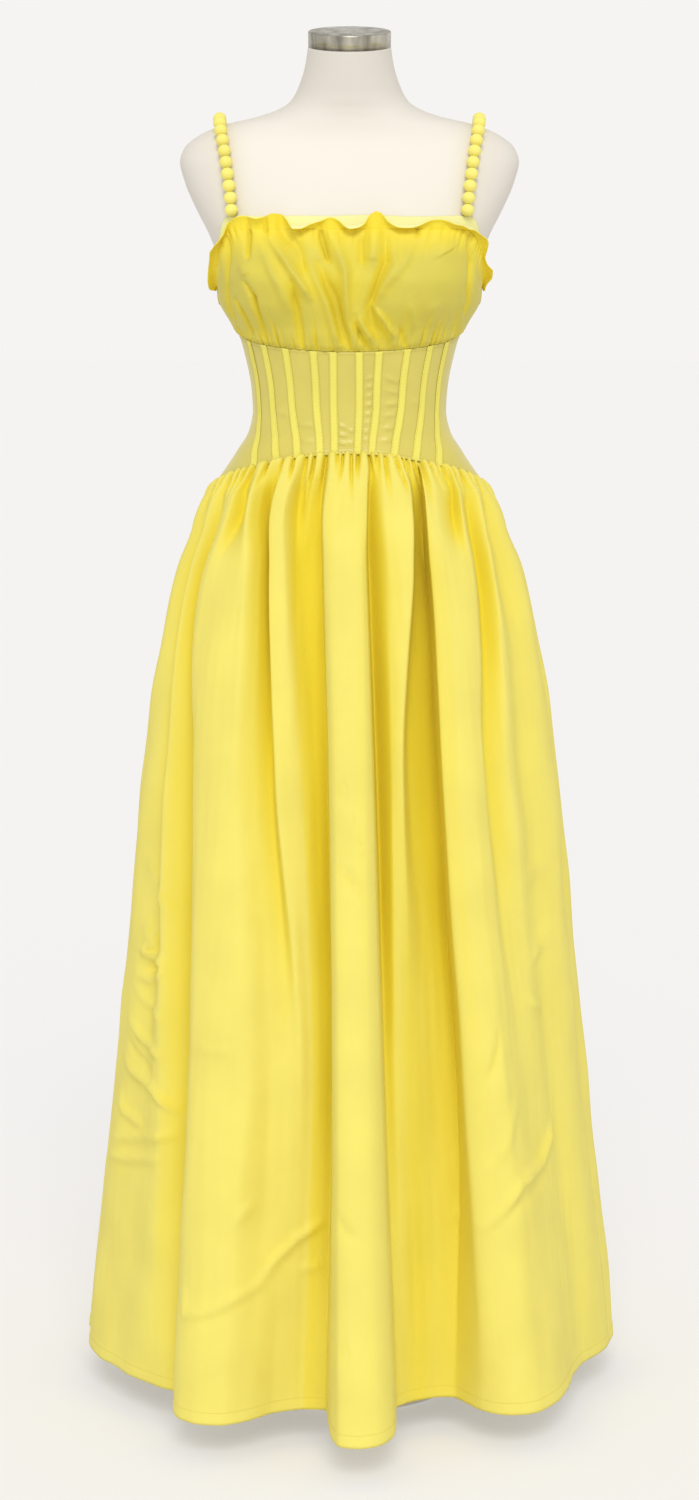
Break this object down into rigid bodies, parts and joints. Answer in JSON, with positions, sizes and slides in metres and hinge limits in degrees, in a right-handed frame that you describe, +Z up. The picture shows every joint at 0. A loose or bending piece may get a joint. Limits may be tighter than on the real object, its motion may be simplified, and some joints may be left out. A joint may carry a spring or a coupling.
{
  "type": "maxi dress on dress form",
  "caption": "Lemon-yellow sleeveless maxi dress with gathered skirt, boned waist, ruffled neckline and beaded straps, on a white limbless dress form.",
  "frame": {"origin": "centre of the round foot's underside, on the floor", "axes": "+Z up along the pole and the form's height; the front of the dress faces -Y"},
  "size_m": [0.6401, 0.7087, 1.6061],
  "materials": {
    "skirt_cloth": "soft matt lemon-yellow woven cloth",
    "bust_cloth": "light yellow woven cloth with a faint sheen",
    "midriff_satin": "dull pale-yellow satin",
    "boning_tape": "bright yellow woven tape",
    "frill_cloth": "saturated yellow cloth, thin edge",
    "pale_facing": "pale cream-yellow facing",
    "bead_cloth": "pale yellow cloth stretched over round beads",
    "form_covering": "smooth off-white matt covering over a papier-mache shell",
    "cap_metal": "brushed nickel",
    "stand_metal": "satin off-white powder coat"
  },
  "bodies": {
    "root": {"skirt_front": "skirt_cloth", "skirt_back": "skirt_cloth", "bust_front": "bust_cloth", "bust_back": "bust_cloth", "midriff_front": "midriff_satin", "midriff_back": "midriff_satin", "top_band_front": "pale_facing", "top_band_back": "pale_facing", "ruffle_front": "frill_cloth", "ruffle_back": "frill_cloth", "strap_left": "bead_cloth", "strap_right": "bead_cloth", "dress_form": "form_covering", "neck_cap": "cap_metal", "stand_pole": "stand_metal", "stand_base": "stand_metal", "boning_front_01": "boning_tape", "boning_front_02": "boning_tape", "boning_front_03": "boning_tape", "boning_front_04": "boning_tape", "boning_front_05": "boning_tape", "boning_front_06": "boning_tape", "boning_front_07": "boning_tape", "boning_front_08": "boning_tape", "boning_front_09": "boning_tape", "boning_front_10": "boning_tape", "boning_back_01": "boning_tape", "boning_back_02": "boning_tape", "boning_back_03": "boning_tape", "boning_back_04": "boning_tape", "boning_back_05": "boning_tape", "boning_back_06": "boning_tape", "boning_back_07": "boning_tape", "boning_back_08": "boning_tape"}
  },
  "joints": []
}
